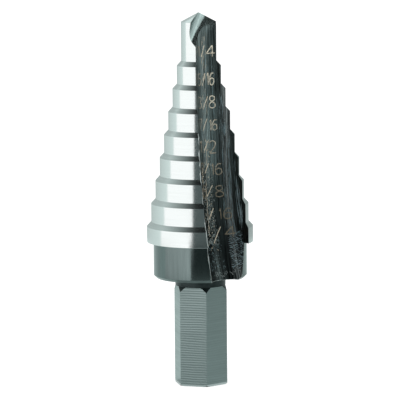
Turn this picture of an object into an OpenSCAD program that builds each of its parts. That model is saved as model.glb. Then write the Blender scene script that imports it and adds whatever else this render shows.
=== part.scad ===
// Step drill with a single straight flute, a self-starting point and a hexagonal shank.
// The origin is the centre of the shank's end face and +Z runs along the axis to the point.
// The flute opens towards -Y. Sizes are in millimetres.

/* [Stepped body] */
// Diameter of the smallest step, the pilot
pilot_d = 6.35; // [5.5:0.05:8]
// Number of diameters on the body, the pilot included
step_count = 9; // [7:1:10]
// Growth in diameter from one step to the next
step_growth = 1.5875; // [1.3:0.0125:1.8]
// Length of the ground land on the pilot
pilot_land = 6.9; // [6:0.005:9]
// Length of the ground land on each middle step
step_land = 3.24; // [2.5:0.005:4]
// Length of the ground land on the largest step
last_land = 2.8; // [2:0.05:4]
// Length along the axis of the bevel that leads into each step
bevel_len = 0.86; // [0.6:0.005:1.4]
// How far the lands are ground off centre, which relieves them behind the cutting edge
land_relief = 0.04; // [0.02:0.01:0.15]

/* [Point] */
// Angle across the cone of the point
point_angle = 124; // [110:1:135]
// Radius at the root of the gash
gash_root_r = 1.4; // [1.1:0.05:1.6]
// How near the gash passes in front of the tip
gash_gap = 0.03; // [0.02:0.01:0.1]
// Angle round the root from the rake face's foot to the tip
gash_wrap = 31; // [20:1:40]
// Angle between the rake face and the floor of the gash
gash_angle = 119; // [110:1:130]
// Climb of the gash from the flute up to the back of the point
gash_slope = 52.5; // [48:0.5:58]
// Heading of the gash, clockwise from straight back
gash_heading = 55; // [50:1:60]
// Turn of the rake face about the root of the gash
gash_roll = 14.5; // [8:0.5:20]

/* [Flute] */
// Radius of the round bottom of the channel
flute_r = 4.05; // [3.7:0.05:4.5]
// Sideways place of the channel, away from the cutting edge
flute_shift = 1.75; // [1.4:0.05:2]
// Slant of the wall that carries the cutting edges
flute_flare = 18; // [4:1:22]
// Steel left between the channel's bottom and the axis at the point
flute_web = 1; // [0.8:0.05:1.4]
// Length of the channel's straight stretch, back from the tip
flute_straight = 24; // [18:0.5:30]
// Depth of the channel where it runs out under the hub
flute_exit_depth = 2.6; // [1.8:0.05:3]
// Lean of the channel, which carries its lower end away from the cutting edge
flute_lean = 1.1; // [0:0.1:1.5]

/* [Hub] */
// Diameter of the plain hub under the largest step
hub_d = 16.67; // [15:0.01:18]
// Length of the hub
hub_len = 6.45; // [5:0.05:9]
// Bevel at the hub's lower rim
hub_bevel = 0.5; // [0.2:0.05:0.8]
// Fillet in the corner under the hub
hub_fillet = 0.4; // [0.2:0.05:0.6]

/* [Shank] */
// Width across the flats of the hexagonal shank
shank_flats = 8.55; // [8:0.01:9.2]
// Length of the shank, from its end to the hub
shank_len = 19.25; // [16:0.05:30]
// How far the hexagon is turned from corner-forward, towards the back of the flute
shank_turn = 13; // [0:1:30]
// Length of the turned neck above the hexagon
neck_len = 1.45; // [1:0.05:2.5]
// How far the neck stands above the flats
neck_step = 0.225; // [0.1:0.005:0.3]
// Length of the cone that trims the hexagon's corners under the neck
corner_trim = 0.9; // [0.5:0.05:1.5]
// Break on the corners at the shank's end
end_break = 0.25; // [0.1:0.05:0.4]

/* [Hidden] */
$fn = 96;

ground_steel = "gainsboro";

hub_z = shank_len;
body_z = hub_z + hub_len;
last_d = pilot_d + (step_count - 1) * step_growth;
step_pitch = step_land + bevel_len;
pilot_z = body_z + last_land + (step_count - 2) * step_pitch + bevel_len;
shoulder_z = pilot_z + pilot_land;
point_len = pilot_d / 2 / tan(point_angle / 2);
tip_z = shoulder_z + point_len;

// Run-out of the flute: the rim of a grinding wheel that leaves the straight stretch
// at a tangent and reaches the depth asked for under the hub.
runout_z = tip_z - flute_straight;
runout_len = runout_z - hub_z;
channel_y = flute_web + flute_r;
runout_rise = hub_d / 2 - flute_exit_depth - flute_web;
wheel_r = (runout_len * runout_len + runout_rise * runout_rise) / (2 * runout_rise);
channel_reach = last_d;

// Where the cutting edge meets the middle of the body, seen from the point.
edge_turn = 25;

shank_r = shank_flats / 2 / cos(30);
neck_r = shank_flats / 2 + neck_step;
corner_margin = 0.5;
gash_reach = 2 * pilot_d;
// How far a round root is sunk below the flat faces it joins.
root_sink = 0.01;
// Length by which the sub-parts run into each other, so that they are one solid.
weld = 1;

// Lower height of the land of step i, counted from the largest.
function land_low(i) = i == 0 ? body_z : body_z + last_land + (i - 1) * step_pitch + bevel_len;
// Upper height of the land of step i.
function land_high(i) = i == 0 ? body_z + last_land
    : i == step_count - 1 ? tip_z
    : land_low(i) + step_land;
// Ground radius of step i.
function land_radius(i) = (last_d - i * step_growth) / 2 - land_relief;

module stepped_lands() {
    outline = [
        for (i = [0 : step_count - 1])
            each [[land_radius(i), land_low(i)], [land_radius(i), land_high(i)]]
    ];
    rotate([0, 0, -edge_turn])
        translate([0, -land_relief, 0])
            rotate_extrude()
                polygon(concat([[0, body_z]], outline, [[0, tip_z]]));
}

module point_envelope() {
    reach = tip_z - body_z;
    translate([0, 0, body_z])
        cylinder(h = reach, r1 = reach * tan(point_angle / 2), r2 = 0);
}

module stepped_body() {
    intersection() {
        stepped_lands();
        point_envelope();
    }
}

module hub() {
    rotate_extrude() {
        polygon([
            [0, hub_z],
            [hub_d / 2 - hub_bevel, hub_z],
            [hub_d / 2, hub_z + hub_bevel],
            [hub_d / 2, body_z + weld],
            [0, body_z + weld]
        ]);
        translate([0, hub_z - neck_len])
            square([neck_r, neck_len]);
        difference() {
            translate([neck_r - hub_fillet, hub_z - hub_fillet])
                square([2 * hub_fillet, hub_fillet]);
            translate([neck_r + hub_fillet, hub_z - hub_fillet])
                circle(r = hub_fillet);
        }
    }
}

module shank() {
    hex_len = shank_len - neck_len;
    core_r = neck_r / 2;
    intersection() {
        rotate([0, 0, -90 - shank_turn])
            cylinder(h = hub_z + weld, r = shank_r, $fn = 6);
        rotate_extrude()
            polygon([
                [0, 0],
                [shank_r - end_break, 0],
                [shank_r + corner_margin, end_break + corner_margin],
                [shank_r + corner_margin, hex_len - corner_trim],
                [shank_r, hex_len - corner_trim],
                [neck_r, hex_len],
                [core_r, hex_len],
                [core_r, hub_z + weld],
                [0, hub_z + weld]
            ]);
    }
}

// Section of the channel, with the middle of its round bottom at the origin. It opens towards
// -Y, with a straight wall on the right and the slanting wall of the cutting edges on the left.
module flute_section() {
    wall_r = flute_r - root_sink;
    wall_x = -wall_r * cos(flute_flare);
    wall_y = wall_r * sin(flute_flare);
    circle(r = flute_r);
    polygon([
        [wall_x, wall_y],
        [wall_x - (channel_reach + wall_y) * tan(flute_flare), -channel_reach],
        [flute_r, -channel_reach],
        [flute_r, 0]
    ]);
}

module flute() {
    translate([flute_shift, -channel_y, runout_z])
        rotate([0, -flute_lean, 0]) {
            linear_extrude(height = flute_straight + gash_reach)
                flute_section();
            translate([0, -wheel_r, 0])
                rotate([0, 90, 0])
                    rotate_extrude($fn = 360)
                        translate([wheel_r, 0])
                            mirror([1, -1])
                                flute_section($fn = 96);
        }
}

// Section of the gash, square to its root, with the tip at the origin. The round of the root
// just misses the tip. The rake face leaves it downwards and the floor climbs away from it.
module gash_section() {
    climb = gash_angle - 90;
    root_x = (gash_root_r + gash_gap) * cos(gash_wrap);
    root_y = -(gash_root_r + gash_gap) * sin(gash_wrap);
    wedge_r = gash_root_r - root_sink;
    floor_x = root_x - wedge_r * sin(climb);
    floor_y = root_y + wedge_r * cos(climb);
    polygon([
        [root_x - wedge_r, -gash_reach],
        [gash_reach, -gash_reach],
        [gash_reach, floor_y + (gash_reach - floor_x) * tan(climb)],
        [floor_x, floor_y],
        [root_x - wedge_r, root_y]
    ]);
    translate([root_x, root_y])
        circle(r = gash_root_r);
}

module point_gash() {
    translate([0, 0, tip_z])
        rotate([0, 0, -gash_heading])
            rotate([gash_slope - 90, 0, 0])
                rotate([0, 0, gash_roll])
                    linear_extrude(height = 2 * gash_reach, center = true)
                        gash_section();
}

module step_drill() {
    color(ground_steel)
        difference() {
            union() {
                stepped_body();
                hub();
                shank();
            }
            flute();
            point_gash();
        }
}

step_drill();
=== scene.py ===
import math

import bmesh
import bpy
import numpy as np
from mathutils import Matrix, Quaternion, Vector


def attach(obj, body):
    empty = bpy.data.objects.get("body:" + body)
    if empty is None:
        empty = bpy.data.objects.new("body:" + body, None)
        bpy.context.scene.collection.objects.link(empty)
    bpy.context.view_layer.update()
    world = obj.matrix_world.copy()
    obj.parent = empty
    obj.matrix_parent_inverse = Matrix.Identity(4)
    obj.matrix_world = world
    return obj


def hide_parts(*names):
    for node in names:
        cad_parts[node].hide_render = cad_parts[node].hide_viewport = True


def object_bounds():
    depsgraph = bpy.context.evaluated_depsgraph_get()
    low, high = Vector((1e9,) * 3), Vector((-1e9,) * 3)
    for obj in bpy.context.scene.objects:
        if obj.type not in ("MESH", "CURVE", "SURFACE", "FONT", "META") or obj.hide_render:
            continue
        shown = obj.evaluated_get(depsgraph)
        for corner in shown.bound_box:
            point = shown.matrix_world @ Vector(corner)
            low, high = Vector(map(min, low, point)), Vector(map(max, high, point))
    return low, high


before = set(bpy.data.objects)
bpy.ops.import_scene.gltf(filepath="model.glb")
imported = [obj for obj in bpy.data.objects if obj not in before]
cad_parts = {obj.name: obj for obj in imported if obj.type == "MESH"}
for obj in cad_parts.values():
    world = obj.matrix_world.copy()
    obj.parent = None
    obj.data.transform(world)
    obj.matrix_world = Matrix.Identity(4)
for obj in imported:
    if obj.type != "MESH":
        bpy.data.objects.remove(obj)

cad_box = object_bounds()

MM = 0.001

# Sizes of the drill, in millimetres, as its CAD source has them.
PILOT_D = 6.35
STEP_COUNT = 9
STEP_GROWTH = 1.5875
PILOT_LAND = 6.9
STEP_LAND = 3.24
LAST_LAND = 2.8
BEVEL_LEN = 0.86
LAND_RELIEF = 0.04
EDGE_TURN = math.radians(25)
POINT_ANGLE = math.radians(124)
HUB_D = 16.67
HUB_LEN = 6.45
HUB_BEVEL = 0.5
HUB_FILLET = 0.4
SHANK_FLATS = 8.55
SHANK_LEN = 19.25
SHANK_TURN = math.radians(13)
NECK_LEN = 1.45
NECK_STEP = 0.225
CORNER_TRIM = 0.9
END_BREAK = 0.25

FLUTE_R = 4.05
FLUTE_SHIFT = 1.75
FLUTE_FLARE = math.radians(18)
FLUTE_WEB = 1.0
FLUTE_STRAIGHT = 24.0
FLUTE_EXIT_DEPTH = 2.6
FLUTE_LEAN = math.radians(1.1)

GASH_R = 1.4
GASH_GAP = 0.03
GASH_WRAP = math.radians(31)
GASH_ANGLE = math.radians(119)
GASH_SLOPE = math.radians(52.5)
GASH_HEADING = math.radians(55)
GASH_ROLL = math.radians(14.5)

LAST_D = PILOT_D + (STEP_COUNT - 1) * STEP_GROWTH
HUB_Z = SHANK_LEN
BODY_Z = HUB_Z + HUB_LEN
STEP_PITCH = STEP_LAND + BEVEL_LEN
FIRST_FOOT_Z = BODY_Z + LAST_LAND + BEVEL_LEN
PILOT_Z = BODY_Z + LAST_LAND + (STEP_COUNT - 2) * STEP_PITCH + BEVEL_LEN
TIP_Z = PILOT_Z + PILOT_LAND + PILOT_D / 2 / math.tan(POINT_ANGLE / 2)
HEX_LEN = SHANK_LEN - NECK_LEN
HEX_R = SHANK_FLATS / 2 / math.cos(math.radians(30))
NECK_R = SHANK_FLATS / 2 + NECK_STEP
RUNOUT_Z = TIP_Z - FLUTE_STRAIGHT
CHANNEL_Y = FLUTE_WEB + FLUTE_R
RUNOUT_LEN = RUNOUT_Z - HUB_Z
RUNOUT_RISE = HUB_D / 2 - FLUTE_EXIT_DEPTH - FLUTE_WEB
WHEEL_R = (RUNOUT_LEN ** 2 + RUNOUT_RISE ** 2) / (2 * RUNOUT_RISE)

# What only the looks have: small rounds on the turned edges, and the milled ridges of the shank,
# which wander by a share of their pitch and are shallow on every other flat.
EDGE_BREAK = 0.05
NECK_BREAK = 0.1
RIDGE_PITCH = 0.43
RIDGE_DEPTH = 0.022
RIDGE_WANDER = 0.7
WANDERS_PER_MM = 0.26
SHALLOW_SHARE = 0.25
# How far the first strongly ridged flat starts behind -X.
RIDGED_FLAT = math.pi / 2 + SHANK_TURN + math.pi / 3
# Edges that turn more than this stay crisp.
BODY_CRISP = math.radians(28)
SHANK_CRISP = math.radians(20)

# The photograph is taken from 25 degrees to the flute's left.
VIEW_TURN = math.radians(-25)


def linear(code):
    """A colour written as an sRGB hex value, as Blender's linear one."""
    parts = [int(code[i:i + 2], 16) / 255 for i in (1, 3, 5)]
    return [c / 12.92 if c <= 0.04045 else ((c + 0.055) / 1.055) ** 2.4 for c in parts] + [1]


def add(tree, kind, inputs=None, **settings):
    """Adds a node with its settings. Inputs go by place in a list, or by key in a dictionary.
    A node or a socket is linked, a list of nodes goes to one input, and other values are set."""
    node = tree.nodes.new(kind)
    for name, value in settings.items():
        setattr(node, name, value)
    for key, value in dict(enumerate(inputs) if isinstance(inputs, list) else inputs or {}).items():
        several = isinstance(value, list) and isinstance(value[0], bpy.types.Node)
        for item in value if several else [value]:
            if isinstance(item, bpy.types.Node):
                item = next(o for o in item.outputs if o.enabled)
            if isinstance(item, bpy.types.NodeSocket):
                tree.links.new(item, node.inputs[key])
            else:
                node.inputs[key].default_value = item
    return node


def mesh_object(name, verts, faces, edges=()):
    mesh = bpy.data.meshes.new(name)
    mesh.from_pydata(verts, edges, faces)
    mesh.update()
    thing = bpy.data.objects.new(name, mesh)
    bpy.context.scene.collection.objects.link(thing)
    return thing


def face_outwards(thing):
    work = bmesh.new()
    work.from_mesh(thing.data)
    bmesh.ops.recalc_face_normals(work, faces=work.faces)
    work.to_mesh(thing.data)
    work.free()


def run_tree(thing, tree, values):
    """Runs a tree with those inputs on an object, and leaves a plain mesh at the origin."""
    modifier = thing.modifiers.new("build", "NODES")
    modifier.node_group = tree
    for item in tree.interface.items_tree:
        if item.in_out == "INPUT" and item.name in values:
            modifier[item.identifier] = values[item.name]
    bpy.context.view_layer.update()
    built = thing.evaluated_get(bpy.context.evaluated_depsgraph_get())
    shape = bpy.data.meshes.new_from_object(built)
    thing.modifiers.clear()
    thing.data = shape
    shape.name = thing.name
    return thing


def read_items(items, name, width=1, kind=np.float32):
    values = np.empty(len(items) * width, kind)
    items.foreach_get(name, values)
    return values.reshape(-1, width) if width > 1 else values


def steady_normals(thing, widest_turn):
    """Each corner's normal is the mean of the faces round its point that turn less than the limit,
    by area, so that long faces keep their own direction and the rounded edges take the turn."""
    mesh = thing.data
    point = read_items(mesh.loops, "vertex_index", kind=np.int32)
    sides = read_items(mesh.polygons, "loop_total", kind=np.int32)
    face = np.repeat(np.arange(len(mesh.polygons)), sides)
    order = np.argsort(point, kind="stable")
    point, face = point[order], face[order]
    facing = read_items(mesh.polygons, "normal", 3)[face]
    weighted = facing * read_items(mesh.polygons, "area")[face][:, None]
    total = weighted.copy()
    step = 1
    while True:
        first = np.flatnonzero(point[step:] == point[:-step])
        if not len(first):
            break
        first = first[(facing[first] * facing[first + step]).sum(1) > math.cos(widest_turn)]
        np.add.at(total, first, weighted[first + step])
        np.add.at(total, first + step, weighted[first])
        step += 1
    shortest = 1e-30
    total /= np.maximum(np.linalg.norm(total, axis=1), shortest)[:, None]
    normals = np.empty_like(total)
    normals[order] = total
    mesh.normals_split_custom_set(normals)


def new_tree(name, sizes):
    tree = bpy.data.node_groups.new(name, "GeometryNodeTree")
    tree.interface.new_socket("Geometry", in_out="INPUT", socket_type="NodeSocketGeometry")
    for size, kind in sizes.items():
        tree.interface.new_socket(size, in_out="INPUT", socket_type="NodeSocket" + kind)
    tree.interface.new_socket("Geometry", in_out="OUTPUT", socket_type="NodeSocketGeometry")
    return tree, tree.nodes.new("NodeGroupInput")


def end_tree(tree, result):
    add(tree, "NodeGroupOutput", [add(tree, "GeometryNodeRealizeInstances", [result])])


def crisp_edges(tree, shape, widest_turn):
    """Smooth shading, but for the edges that turn more than the limit."""
    turn = add(tree, "GeometryNodeInputMeshEdgeAngle")
    crisp = add(tree, "FunctionNodeCompare", [turn, widest_turn], operation="GREATER_THAN")
    shape = add(tree, "GeometryNodeSetShadeSmooth", {0: shape, "Shade Smooth": True}, domain="FACE")
    return add(tree, "GeometryNodeSetShadeSmooth", {0: shape, "Selection": crisp, "Shade Smooth": False},
               domain="EDGE")


def height_and_facing(tree):
    """How high up a face is, and how far it faces up."""
    place = add(tree, "ShaderNodeSeparateXYZ", [add(tree, "GeometryNodeInputPosition")])
    normal = add(tree, "ShaderNodeSeparateXYZ", [add(tree, "GeometryNodeInputNormal")])
    return place.outputs["Z"], normal.outputs["Z"]


def groove_depth(tree, place, pitch):
    """Depth of the grooves between the shank's milled ridges, from 0 to 1: deep on every other
    flat, and shallow on the flats between."""
    x, y, z = add(tree, "ShaderNodeSeparateXYZ", [place]).outputs
    wander = add(tree, "ShaderNodeTexNoise", {"Vector": place, "Scale": WANDERS_PER_MM / MM, "Detail": 1.0})
    phase = add(tree, "ShaderNodeMath", [z, pitch], operation="DIVIDE")
    phase = add(tree, "ShaderNodeMath", [wander, RIDGE_WANDER, phase], operation="MULTIPLY_ADD")
    phase = add(tree, "ShaderNodeMath", [phase, 2 * math.pi], operation="MULTIPLY")
    wave = add(tree, "ShaderNodeMath", [phase], operation="SINE")
    wave = add(tree, "ShaderNodeMath", [wave, 0.5, 0.5], operation="MULTIPLY_ADD")
    turn = add(tree, "ShaderNodeMath", [y, x], operation="ARCTAN2")
    turn = add(tree, "ShaderNodeMath", [turn, RIDGED_FLAT], operation="ADD")
    turn = add(tree, "ShaderNodeMath", [turn, 2 * math.pi / 3], operation="FLOORED_MODULO")
    deep = add(tree, "ShaderNodeMath", [turn, math.pi / 3], operation="LESS_THAN")
    deep = add(tree, "ShaderNodeMath", [deep, 1 - SHALLOW_SHARE, SHALLOW_SHARE], operation="MULTIPLY_ADD")
    return add(tree, "ShaderNodeMath", [wave, deep], operation="MULTIPLY")


# Materials

# Noise lies mostly between these two values, so marks go from faint to strong between them.
FAINT, STRONG = 0.3, 0.7
# How much rougher the faint marks are, how much smoother the strong ones, and how steep all are.
ROUGHER, SMOOTHER, MARK_STRENGTH = 1.15, 0.85, 0.2
# Tone of the shank on the crest of a ridge, a painted highlight, and at the bottom of a groove, painted
# shade.
CREST_PAINTED_HIGHLIGHT, GROOVE_PAINTED_SHADE = 1.1, 0.78


def bare_finish(name, turned=0.0, metallic=1.0, roughness=0.5):
    """A finish without a colour yet. Turned steel stretches its highlights round the axis."""
    material = bpy.data.materials.new(name)
    material.use_nodes = True
    tree = material.node_tree
    shader = tree.nodes["Principled BSDF"]
    shader.inputs["Metallic"].default_value = metallic
    shader.inputs["Roughness"].default_value = roughness
    shader.inputs["Anisotropic"].default_value = turned
    if turned:
        where = add(tree, "ShaderNodeTexCoord").outputs["Object"]
        around = add(tree, "ShaderNodeVectorMath", [(0, 0, 1), where], operation="CROSS_PRODUCT")
        around = add(tree, "ShaderNodeVectorMath", [around], operation="NORMALIZE")
        tree.links.new(around.outputs[0], shader.inputs["Tangent"])
    return material, tree, shader


def finish(name, colour, roughness, marks_per_mm, contrast, turned=0.0, metallic=1.0, height=0.0,
           ridged=False):
    """A finish with fine marks in its colour and roughness, and with a height in mm in its relief.
    The marks have a count per mm along each axis. Ridged steel has painted shade in its grooves and
    a painted highlight on its crests."""
    material, tree, shader = bare_finish(name, turned, metallic)
    where = add(tree, "ShaderNodeTexCoord").outputs["Object"]
    marks = add(tree, "ShaderNodeVectorMath", [where, [n / MM for n in marks_per_mm]], operation="MULTIPLY")
    marks = add(tree, "ShaderNodeTexNoise", {"Vector": marks, "Scale": 1.0, "Detail": 3.0, "Roughness": 0.6},
                name="marks")
    tone = add(tree, "ShaderNodeMapRange", [marks, FAINT, STRONG, 1 - contrast, 1 + contrast])
    if ridged:
        # A painted highlight on the ridges' crests and painted shade in their grooves.
        grooves = groove_depth(tree, where, RIDGE_PITCH * MM)
        shade = add(tree, "ShaderNodeMapRange", [grooves, 0.0, 1.0, CREST_PAINTED_HIGHLIGHT, GROOVE_PAINTED_SHADE])
        tone = add(tree, "ShaderNodeMath", [tone, shade], operation="MULTIPLY")
    base = add(tree, "ShaderNodeVectorMath", {0: linear(colour)[:3], "Scale": tone}, operation="SCALE")
    tree.links.new(base.outputs[0], shader.inputs["Base Color"])
    rough = add(tree, "ShaderNodeMapRange", [marks, FAINT, STRONG, roughness * ROUGHER, roughness * SMOOTHER])
    tree.links.new(rough.outputs[0], shader.inputs["Roughness"])
    if height:
        relief = {"Strength": MARK_STRENGTH, "Distance": height * MM, "Height": marks}
        tree.links.new(add(tree, "ShaderNodeBump", relief).outputs[0], shader.inputs["Normal"])
    return material


# Cylindrically ground lands: bright, and streaked round the axis. The real grinding lines are about
# 0.01 mm apart, too fine to show, so they are drawn 0.15 mm apart.
land_steel = finish("cylindrical_ground_steel", "#E4E9E8", 0.12, (0.09, 0.09, 6.5), contrast=0.02,
                    turned=0.75, height=0.001)
# The bevels into each step are ground a little coarser and look greyer.
bevel_steel = finish("ground_bevel_steel", "#CACFCE", 0.2, (0.09, 0.09, 6.5), contrast=0.05,
                     turned=0.5, height=0.001)
# The hub keeps its dark hardening skin, with faint lengthwise marks from polishing.
hub_steel = finish("hardened_hub_steel", "#727F7E", 0.12, (2.4, 2.4, 0.12), contrast=0.09, turned=0.6)
# Milled ridges run round the hexagon, each with a painted highlight on its crest and painted shade in its
# groove.
shank_steel = finish("milled_shank_steel", "#98A6A5", 0.35, (0.15, 0.15, 3.5), contrast=0.05, ridged=True)
# The neck under the hub, the trimmed corners and the shank's end break have dark, mottled painted shade.
neck_shade_steel = finish("oxidised_neck_steel", "#3F4747", 0.3, (0.7, 0.7, 1.8), contrast=0.3)
# Torn and cut edges are clean bright metal with a broken shine.
glint_steel = finish("bright_torn_steel", "#E4E9E8", 0.5, (2.6, 2.6, 2.6), contrast=0.08)
# Streaks and chatter marks in the flute are lightly blued by the heat of grinding.
streak_steel = finish("blued_streak_steel", "#C6DAE0", 0.45, (1.5, 1.5, 0.5), contrast=0.15)
# The slashes are cut deeper than the figures. They, the pale scratches and the strewn specks and
# glints have a pale matt colour: a painted highlight for the glint they catch.
pale_glint_paint = finish("pale_cut_oxide", "#F6EBD2", 0.4, (1.8, 1.8, 0.9), contrast=0.07, metallic=0.0)

# The gash is ground in one pass up its slope, and stays brighter than the flute. The wheel was a
# little crowned, so the floor starts to turn before its round root, along a line across the gash.
# The crown starts at a distance in mm along CROWN_ACROSS, and its slope grows with each mm.
CROWN_ACROSS, CROWN_START = (-0.784, 0.327, 0.527), 33.73
CROWN_SOFTNESS, CROWN_SLOPE, CROWN_GROWTH = 0.2, 0.09, 0.05
GASH_MARK_HEIGHT = 0.0004
gash_steel = finish("ground_gash_steel", "#BFCAC9", 0.22, (3.5, 2.5, 0.5), contrast=0.08)
tree = gash_steel.node_tree
where = add(tree, "ShaderNodeTexCoord").outputs["Object"]
across = add(tree, "ShaderNodeVectorMath", [where, CROWN_ACROSS], operation="DOT_PRODUCT").outputs["Value"]
across = add(tree, "ShaderNodeMath", [across, CROWN_START * MM], operation="SUBTRACT")
across = add(tree, "ShaderNodeMath", [across, 0.0, CROWN_SOFTNESS * MM], operation="SMOOTH_MAX")
slope = add(tree, "ShaderNodeMath", [across, CROWN_GROWTH / MM, CROWN_SLOPE], operation="MULTIPLY_ADD")
crown = add(tree, "ShaderNodeMath", [across, slope], operation="MULTIPLY")
crown = add(tree, "ShaderNodeMath", [tree.nodes["marks"], GASH_MARK_HEIGHT * MM, crown],
            operation="MULTIPLY_ADD")
bump = add(tree, "ShaderNodeBump", {"Strength": 1.0, "Distance": 1.0, "Height": crown})
tree.links.new(bump.outputs[0], tree.nodes["Principled BSDF"].inputs["Normal"])

# The flute is ground lengthwise, with fine streaks along it. Its colour is light and even near the
# point, and darker lower down and towards its right wall. The real grinding lines are about 0.02 mm
# wide, too fine to see, so they are drawn 0.25 mm wide. Places on the flute are in mm, across it
# from its deepest line and along it from the top of its run-out.
FLUTE_TINT = linear("#EFFFFF")[:3]
STREAKS_PER_MM_ACROSS, STREAKS_PER_MM_ALONG = 4.0, 0.12
STREAK_HEIGHT, STREAK_STRENGTH = 0.04, 0.6
BRIGHTEST = 0.95
# Where each tone changes on the flute, or in the noise of its streaks, and the tones at its ends.
LIGHTER_ACROSS, LIGHTER_ALONG = (0.5, 2.0), (-9.0, 0.0)
POINT_ALONG, POINT_TONES = (3.0, 11.0), (0.46, 0.28)
DARKER_ALONG, DARKER_TONES = (-17.0, -11.0), (0.06, 0.12)
STREAK_NOISE, STREAK_TONES = (0.38, 0.62), (0.2, 2.0)
FAINT_ROUGHNESS, STRONG_ROUGHNESS = 0.42, 0.24
flute_steel, tree, shader = bare_finish("ground_flute_steel")
across, along, above = add(tree, "ShaderNodeSeparateXYZ", [
    add(tree, "ShaderNodeUVMap", uv_map="channel")]).outputs
streaks = add(tree, "ShaderNodeCombineXYZ", [
    add(tree, "ShaderNodeMath", [across, STREAKS_PER_MM_ACROSS], operation="MULTIPLY"),
    add(tree, "ShaderNodeMath", [along, STREAKS_PER_MM_ALONG], operation="MULTIPLY")])
streaks = add(tree, "ShaderNodeTexNoise", {
    "Vector": streaks, "Scale": 1.0, "Detail": 4.0, "Roughness": 0.65})
left_side = add(tree, "ShaderNodeMapRange", [across, *LIGHTER_ACROSS, 1.0, 0.0],
                interpolation_type="SMOOTHSTEP")
upper_end = add(tree, "ShaderNodeMapRange", [along, *LIGHTER_ALONG, 0.0, 1.0],
                interpolation_type="SMOOTHSTEP")
lighter_share = add(tree, "ShaderNodeMath", [left_side, upper_end], operation="MULTIPLY")
lighter_tone = add(tree, "ShaderNodeMapRange", [along, *POINT_ALONG, *POINT_TONES])
darker_tone = add(tree, "ShaderNodeMapRange", [along, *DARKER_ALONG, *DARKER_TONES])
tone = add(tree, "ShaderNodeMapRange", [lighter_share, 0.0, 1.0, darker_tone, lighter_tone])
contrast = add(tree, "ShaderNodeMapRange", [streaks, *STREAK_NOISE, *STREAK_TONES])
tone = add(tree, "ShaderNodeMath", [tone, contrast], operation="MULTIPLY")
tone = add(tree, "ShaderNodeMath", [tone, BRIGHTEST], operation="MINIMUM")
base = add(tree, "ShaderNodeVectorMath", {0: FLUTE_TINT, "Scale": tone}, operation="SCALE")
tree.links.new(base.outputs[0], shader.inputs["Base Color"])
rough = add(tree, "ShaderNodeMapRange", [streaks, FAINT, STRONG, FAINT_ROUGHNESS, STRONG_ROUGHNESS])
tree.links.new(rough.outputs[0], shader.inputs["Roughness"])
relief = {"Strength": STREAK_STRENGTH, "Distance": STREAK_HEIGHT * MM, "Height": streaks}
tree.links.new(add(tree, "ShaderNodeBump", relief).outputs[0], shader.inputs["Normal"])

# The etched marks carry a thin tan oxide, which is cream near the point and dull lower down. It
# is patchy, and darker on the slanting wall at the flute's left. Heights and places are in mm.
DULL_TAN, CREAM = linear("#8A8370"), linear("#F6F0DA")
DULL_HEIGHT, CREAM_HEIGHT = 34, 52
DIM_LEFT, FULL_RIGHT = -0.6, 0.3
PATCHES_PER_MM = 2.4
PATCH_NOISE, PATCH_TONES = (0.34, 0.56), (0.5, 1.0)
LEFT_DIM_TONE = 0.4
mark_oxide, tree, shader = bare_finish("tan_etched_oxide", metallic=0.0, roughness=0.45)
where = add(tree, "ShaderNodeTexCoord").outputs["Object"]
x, y, z = add(tree, "ShaderNodeSeparateXYZ", [where]).outputs
upper = add(tree, "ShaderNodeMapRange", [z, DULL_HEIGHT * MM, CREAM_HEIGHT * MM, 0.0, 1.0])
patches = add(tree, "ShaderNodeTexNoise", {"Vector": where, "Scale": PATCHES_PER_MM / MM, "Detail": 2.0})
base = add(tree, "ShaderNodeMix", {0: upper, 6: DULL_TAN, 7: CREAM}, data_type="RGBA")
patchy_dimming = add(tree, "ShaderNodeMapRange", [patches, *PATCH_NOISE, *PATCH_TONES])
left_dimming = add(tree, "ShaderNodeMapRange", [x, DIM_LEFT * MM, FULL_RIGHT * MM, LEFT_DIM_TONE, 1.0])
patchy_dimming = add(tree, "ShaderNodeMath", [patchy_dimming, left_dimming], operation="MULTIPLY")
base = add(tree, "ShaderNodeVectorMath", {0: base, "Scale": patchy_dimming}, operation="SCALE")
tree.links.new(base.outputs[0], shader.inputs["Base Color"])


# Cutters for the flute and the gash

def prism(name, rows, material, uv_rows=None):
    """A closed solid from equal loops of points, one after the other."""
    count = len(rows[0])
    verts = [v for row in rows for v in row]
    faces = []
    for r in range(len(rows) - 1):
        for c in range(count):
            d = (c + 1) % count
            faces.append((r * count + c, r * count + d, (r + 1) * count + d, (r + 1) * count + c))
    faces.append(tuple(reversed(range(count))))
    faces.append(tuple(range((len(rows) - 1) * count, len(rows) * count)))
    thing = mesh_object(name, verts, faces)
    if uv_rows:
        layer = thing.data.uv_layers.new(name="channel")
        flat = [uv for row in uv_rows for uv in row]
        for loop in thing.data.loops:
            layer.data[loop.index].uv = flat[loop.vertex_index]
    thing.data.materials.append(material)
    face_outwards(thing)
    return thing


def channel_section():
    """(x, y, distance across) of the flute's section in mm, with the middle of its round
    bottom at the origin and the bottom towards +Y."""
    wall = 9.0
    left_parts, bottom_parts, right_parts = 24, 96, 20
    left = [
        (-FLUTE_R * math.cos(FLUTE_FLARE) - t * math.tan(FLUTE_FLARE), FLUTE_R * math.sin(FLUTE_FLARE) - t)
        for t in [wall * k / left_parts for k in range(left_parts, 0, -1)]]
    start = math.pi - FLUTE_FLARE
    bottom = [(FLUTE_R * math.cos(a), FLUTE_R * math.sin(a))
              for a in [start * (1 - k / bottom_parts) for k in range(bottom_parts + 1)]]
    right = [(FLUTE_R, -wall * k / right_parts) for k in range(1, right_parts + 1)]
    points = left + bottom + right
    across, total = [0.0], 0.0
    for a, b in zip(points, points[1:]):
        total += math.dist(a, b)
        across.append(total)
    middle = across[len(left)] + (start - math.pi / 2) * FLUTE_R
    return [(x, y, s - middle) for (x, y), s in zip(points, across)]


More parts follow.
